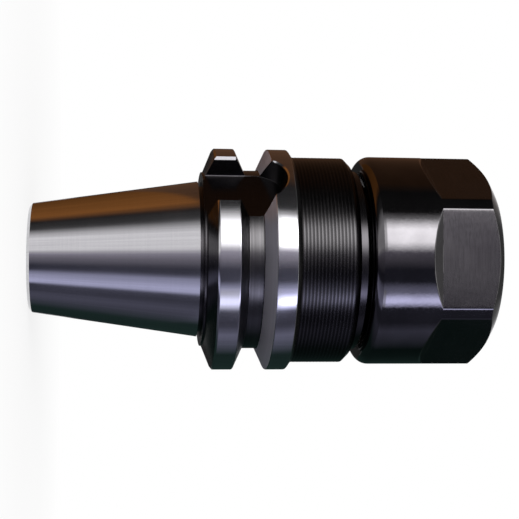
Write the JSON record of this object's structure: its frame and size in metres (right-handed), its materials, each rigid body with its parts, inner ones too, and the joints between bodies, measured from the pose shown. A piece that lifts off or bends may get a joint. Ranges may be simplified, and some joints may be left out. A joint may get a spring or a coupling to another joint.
{
  "type": "collet chuck holder",
  "caption": "Short 7/24 taper tool holder with a V-groove flange, blackened body and hexagon nut over a spring collet.",
  "frame": {"origin": "centre of the taper's small end face, on the axis", "axes": "+Z along the axis from the small end of the taper to the nut, +X towards one key slot"},
  "size_m": [0.0296, 0.0296, 0.0609],
  "materials": {
    "ground_steel": "ground taper and rims, turned flange, blackened body and neck",
    "black_oxide_steel": "black oxide, satin",
    "spring_steel": "ground spring steel",
    "black_screw_steel": "black oxide, matt"
  },
  "bodies": {
    "holder": {"holder_body": "ground_steel"},
    "drawn_collet": {"collet": "spring_steel"},
    "clamping_nut": {"collet_nut": "black_oxide_steel"},
    "length_stop": {"stop_screw": "black_screw_steel"}
  },
  "joints": [
    {"name": "collet_draw", "type": "slide", "parent": "holder", "child": "drawn_collet", "axis": [0, 0, 1], "range_m": [0, 0.009]},
    {"name": "nut_turn", "type": "hinge", "parent": "drawn_collet", "child": "clamping_nut", "pos_m": [0, 0, 0.052], "axis": [0, 0, 1], "range_deg": [0, 2160]},
    {"name": "stop_adjust", "type": "slide", "parent": "holder", "child": "length_stop", "axis": [0, 0, 1], "range_m": [0, 0.0035]}
  ],
  "couplings": [
    {"joint": "collet_draw", "follows": "nut_turn", "m_per_rad": 0.00023873}
  ]
}
